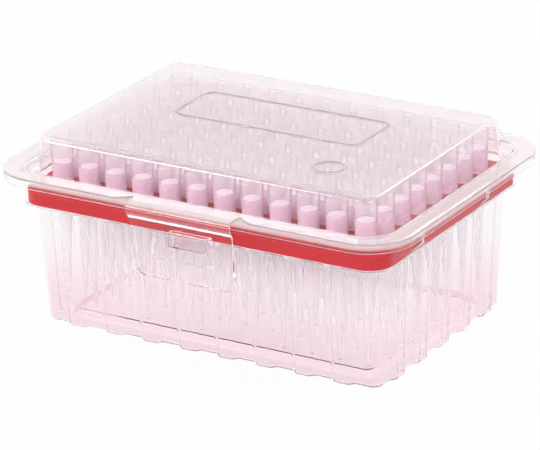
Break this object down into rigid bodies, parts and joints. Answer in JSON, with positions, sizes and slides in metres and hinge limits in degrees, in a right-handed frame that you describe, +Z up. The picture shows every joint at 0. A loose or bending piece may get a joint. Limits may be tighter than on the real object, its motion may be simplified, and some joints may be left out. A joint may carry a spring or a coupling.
{
  "type": "pipette tip box",
  "caption": "Clear hinged box with fluted walls and a fold-down latch, with pipette tips hanging in rows through a red rack plate.",
  "frame": {"origin": "middle of the tray's foot, on the surface that the box stands on; the middle of the outline's box lies there too, to within 1 mm", "axes": "+X along the long side, +Z up, the latch at -Y and the living hinge at +Y"},
  "size_m": [0.1316, 0.0979, 0.0569],
  "materials": {
    "clear_sheet": "clear glossy thermoformed sheet",
    "red_plate": "satin moulded",
    "tip_plastic": "milky translucent, satin"
  },
  "bodies": {
    "tray": {"base_tray": "clear_sheet", "rack_plate": "red_plate", "tip_e1": "tip_plastic", "tip_e2": "tip_plastic", "tip_e3": "tip_plastic", "tip_e4": "tip_plastic", "tip_e5": "tip_plastic", "tip_e6": "tip_plastic", "tip_e7": "tip_plastic", "tip_e8": "tip_plastic", "tip_e9": "tip_plastic", "tip_e10": "tip_plastic", "tip_e11": "tip_plastic", "tip_e12": "tip_plastic", "tip_f1": "tip_plastic", "tip_f2": "tip_plastic", "tip_f3": "tip_plastic", "tip_f4": "tip_plastic", "tip_f5": "tip_plastic", "tip_f6": "tip_plastic", "tip_f7": "tip_plastic", "tip_f8": "tip_plastic", "tip_f9": "tip_plastic", "tip_f10": "tip_plastic", "tip_f11": "tip_plastic", "tip_f12": "tip_plastic", "tip_g1": "tip_plastic", "tip_g2": "tip_plastic", "tip_g3": "tip_plastic", "tip_g4": "tip_plastic", "tip_g5": "tip_plastic", "tip_g6": "tip_plastic", "tip_g7": "tip_plastic", "tip_g8": "tip_plastic", "tip_g9": "tip_plastic", "tip_g10": "tip_plastic", "tip_g11": "tip_plastic", "tip_g12": "tip_plastic", "tip_h1": "tip_plastic", "tip_h2": "tip_plastic", "tip_h3": "tip_plastic", "tip_h4": "tip_plastic", "tip_h5": "tip_plastic", "tip_h6": "tip_plastic", "tip_h7": "tip_plastic", "tip_h8": "tip_plastic", "tip_h9": "tip_plastic", "tip_h10": "tip_plastic", "tip_h11": "tip_plastic", "tip_h12": "tip_plastic"},
    "lid": {"lid": "clear_sheet"},
    "latch": {"latch_tab": "clear_sheet"}
  },
  "joints": [
    {"name": "lid_hinge", "type": "hinge", "parent": "tray", "child": "lid", "pos_m": [0, 0.04845, 0.047], "axis": [-1, 0, 0], "range_deg": [0, 180]},
    {"name": "latch_hinge", "type": "hinge", "parent": "lid", "child": "latch", "pos_m": [0, -0.0486, 0.0428], "axis": [-1, 0, 0], "range_deg": [0, 90]}
  ]
}
